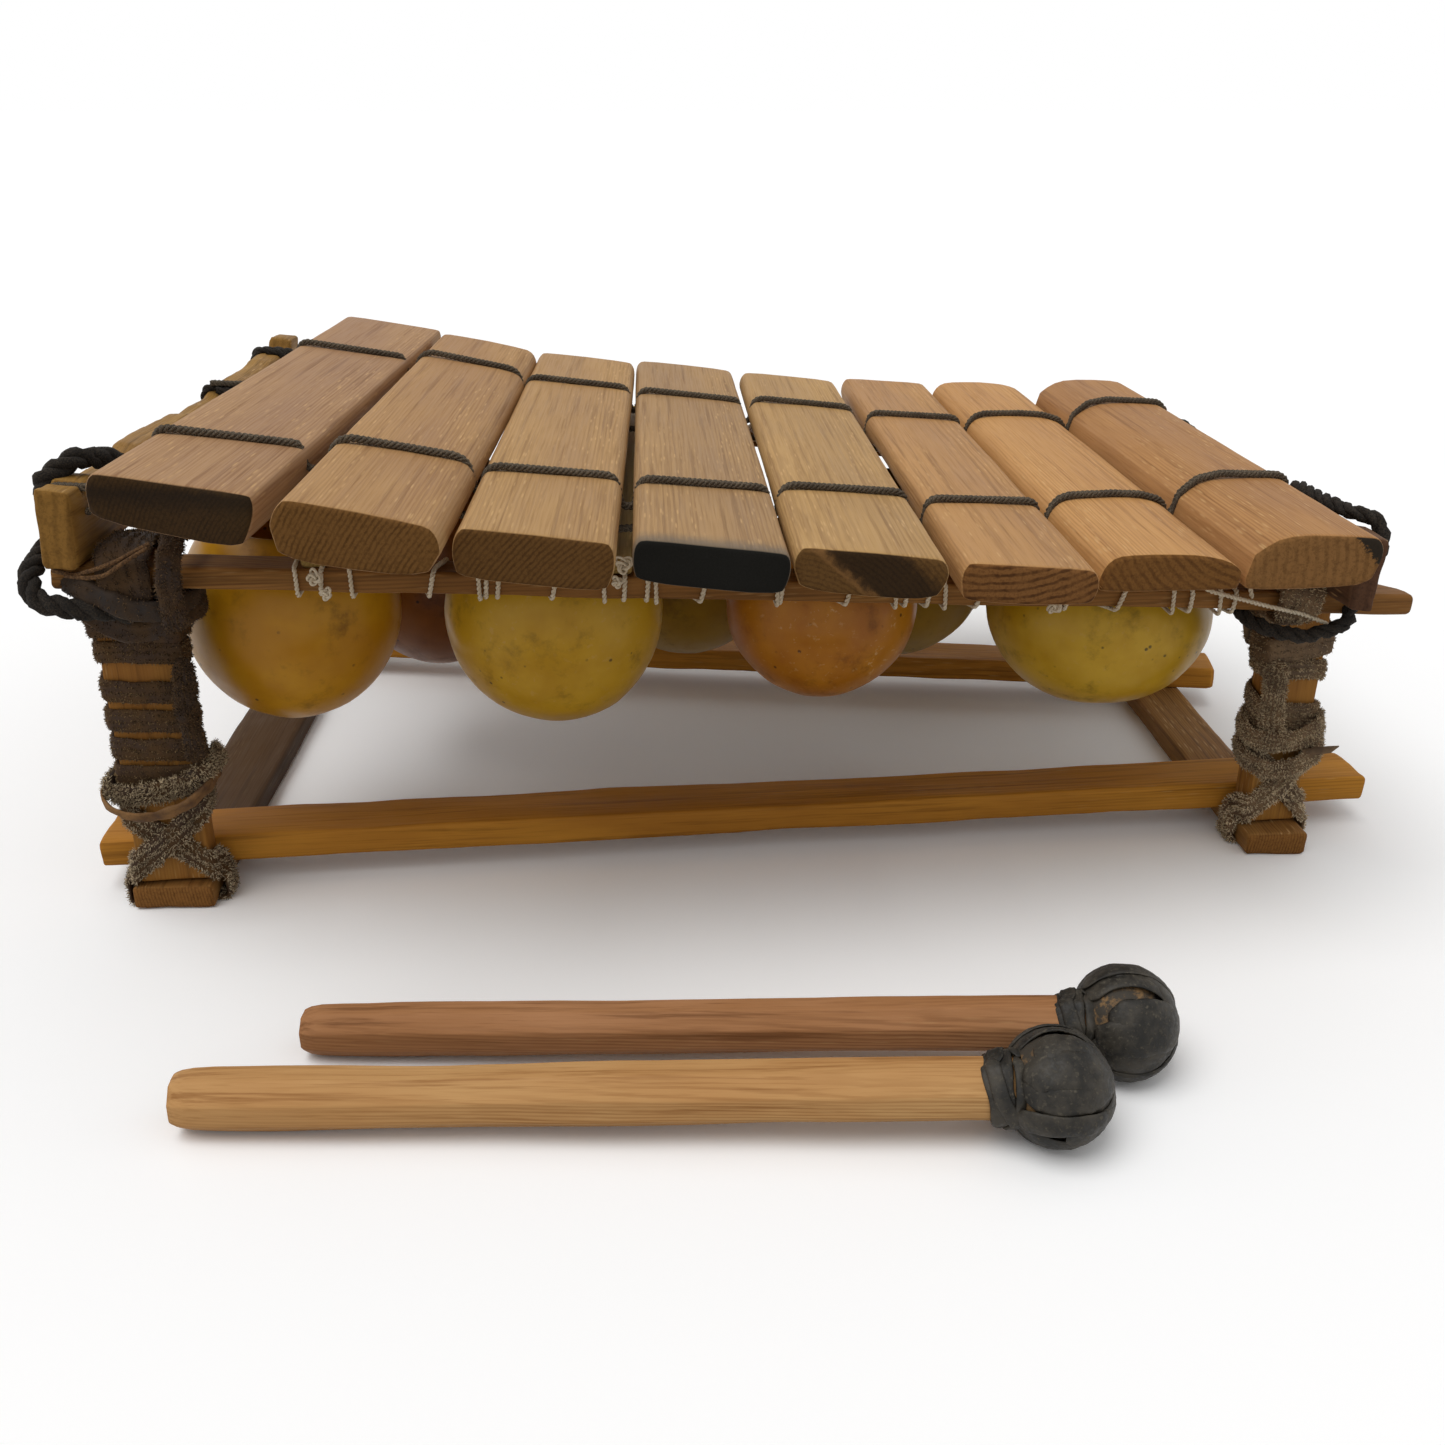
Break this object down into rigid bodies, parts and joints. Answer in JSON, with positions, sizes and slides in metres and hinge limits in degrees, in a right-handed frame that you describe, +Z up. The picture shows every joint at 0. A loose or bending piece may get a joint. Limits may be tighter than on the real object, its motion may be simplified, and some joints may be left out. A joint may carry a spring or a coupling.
{
  "type": "balafon",
  "caption": "Balafon with tuned wooden keys on cords over gourd resonators in a splayed, hide-bound wooden frame, with a pair of ball-headed beaters beside it",
  "frame": {"origin": "on the floor, under the middle of the whole part's box, beaters included", "axes": "+X along the frame from the lowest key to the highest, +Y along the keys, away from the player, +Z up"},
  "size_m": [0.527, 0.4826, 0.1901],
  "materials": {
    "key_wood": "oiled, medium golden brown, long grain",
    "rail_wood": "planed, golden brown",
    "dark_wood": "rough sawn and stained dark brown",
    "leg_wood": "planed, brown",
    "pale_wood": "raw pale wood",
    "beater_wood_pale": "planed, light tan",
    "beater_wood_red": "planed, reddish brown",
    "gourd_shell": "glossy dried gourd, ochre with dark specks",
    "cord": "dark grey-brown braided cord",
    "rope": "near-black rope",
    "twine": "cream cotton twine",
    "hide": "raw hide strip, part furred",
    "rubber": "matt inner-tube strip"
  },
  "bodies": {
    "frame": {"top_rail_front": "dark_wood", "top_rail_rear": "dark_wood", "end_board_left": "dark_wood", "end_board_right": "dark_wood", "gourd_stick_1": "pale_wood", "gourd_stick_2": "pale_wood", "gourd_stick_3": "pale_wood", "gourd_stick_4": "pale_wood", "gourd_1": "gourd_shell", "gourd_2": "gourd_shell", "gourd_3": "gourd_shell", "gourd_4": "gourd_shell", "gourd_5": "gourd_shell", "gourd_6": "gourd_shell", "gourd_7": "gourd_shell", "gourd_8": "gourd_shell", "rail_twine_front": "twine", "rail_twine_rear": "twine", "support_cord_front": "cord", "key_cord_front": "cord", "support_cord_rear": "cord", "key_cord_rear": "cord", "corner_rope_front_left": "rope", "corner_rope_front_right": "rope", "corner_rope_rear_left": "rope", "corner_rope_rear_right": "rope", "bottom_rail_front": "rail_wood", "bottom_rail_rear": "rail_wood", "foot_rail_left": "rail_wood", "foot_rail_right": "rail_wood", "leg_front_left": "leg_wood", "leg_wrap_front_left": "hide", "foot_lashing_front_left": "hide", "corner_lashing_front_left": "hide", "leg_front_right": "leg_wood", "leg_wrap_front_right": "hide", "foot_lashing_front_right": "hide", "corner_lashing_front_right": "hide", "leg_rear_left": "leg_wood", "leg_wrap_rear_left": "hide", "foot_lashing_rear_left": "hide", "corner_lashing_rear_left": "hide", "leg_rear_right": "leg_wood", "leg_wrap_rear_right": "hide", "foot_lashing_rear_right": "hide", "corner_lashing_rear_right": "hide"},
    "key_1": {"key_1": "key_wood"},
    "key_2": {"key_2": "key_wood"},
    "key_3": {"key_3": "key_wood"},
    "key_4": {"key_4": "key_wood"},
    "key_5": {"key_5": "key_wood"},
    "key_6": {"key_6": "key_wood"},
    "key_7": {"key_7": "key_wood"},
    "key_8": {"key_8": "key_wood"},
    "beater_1": {"beater_1_stick": "beater_wood_pale", "beater_1_head": "rubber", "beater_1_neck": "rubber"},
    "beater_2": {"beater_2_stick": "beater_wood_red", "beater_2_head": "rubber", "beater_2_neck": "rubber"}
  },
  "joints": [
    {"name": "key_1_give", "type": "slide", "parent": "frame", "child": "key_1", "axis": [0, 0, 1], "range_m": [-0.0015, 0], "stiffness_N_per_m": 4000, "springref_m": 0.001, "deforming": ["support_cord_front", "support_cord_rear"]},
    {"name": "key_2_give", "type": "slide", "parent": "frame", "child": "key_2", "axis": [0, 0, 1], "range_m": [-0.0015, 0], "stiffness_N_per_m": 4000, "springref_m": 0.001, "deforming": ["support_cord_front", "support_cord_rear"]},
    {"name": "key_3_give", "type": "slide", "parent": "frame", "child": "key_3", "axis": [0, 0, 1], "range_m": [-0.0015, 0], "stiffness_N_per_m": 4000, "springref_m": 0.001, "deforming": ["support_cord_front", "support_cord_rear"]},
    {"name": "key_4_give", "type": "slide", "parent": "frame", "child": "key_4", "axis": [0, 0, 1], "range_m": [-0.0015, 0], "stiffness_N_per_m": 4000, "springref_m": 0.001, "deforming": ["support_cord_front", "support_cord_rear"]},
    {"name": "key_5_give", "type": "slide", "parent": "frame", "child": "key_5", "axis": [0, 0, 1], "range_m": [-0.0015, 0], "stiffness_N_per_m": 4000, "springref_m": 0.001, "deforming": ["support_cord_front", "support_cord_rear"]},
    {"name": "key_6_give", "type": "slide", "parent": "frame", "child": "key_6", "axis": [0, 0, 1], "range_m": [-0.0015, 0], "stiffness_N_per_m": 4000, "springref_m": 0.001, "deforming": ["support_cord_front", "support_cord_rear"]},
    {"name": "key_7_give", "type": "slide", "parent": "frame", "child": "key_7", "axis": [0, 0, 1], "range_m": [-0.0015, 0], "stiffness_N_per_m": 4000, "springref_m": 0.001, "deforming": ["support_cord_front", "support_cord_rear"]},
    {"name": "key_8_give", "type": "slide", "parent": "frame", "child": "key_8", "axis": [0, 0, 1], "range_m": [-0.0015, 0], "stiffness_N_per_m": 4000, "springref_m": 0.001, "deforming": ["support_cord_front", "support_cord_rear"]},
    {"name": "beater_1_lift", "type": "slide", "parent": "frame", "child": "beater_1", "axis": [0, 0, 1], "range_m": [0, 0.25]},
    {"name": "beater_2_lift", "type": "slide", "parent": "frame", "child": "beater_2", "axis": [0, 0, 1], "range_m": [0, 0.25]}
  ]
}
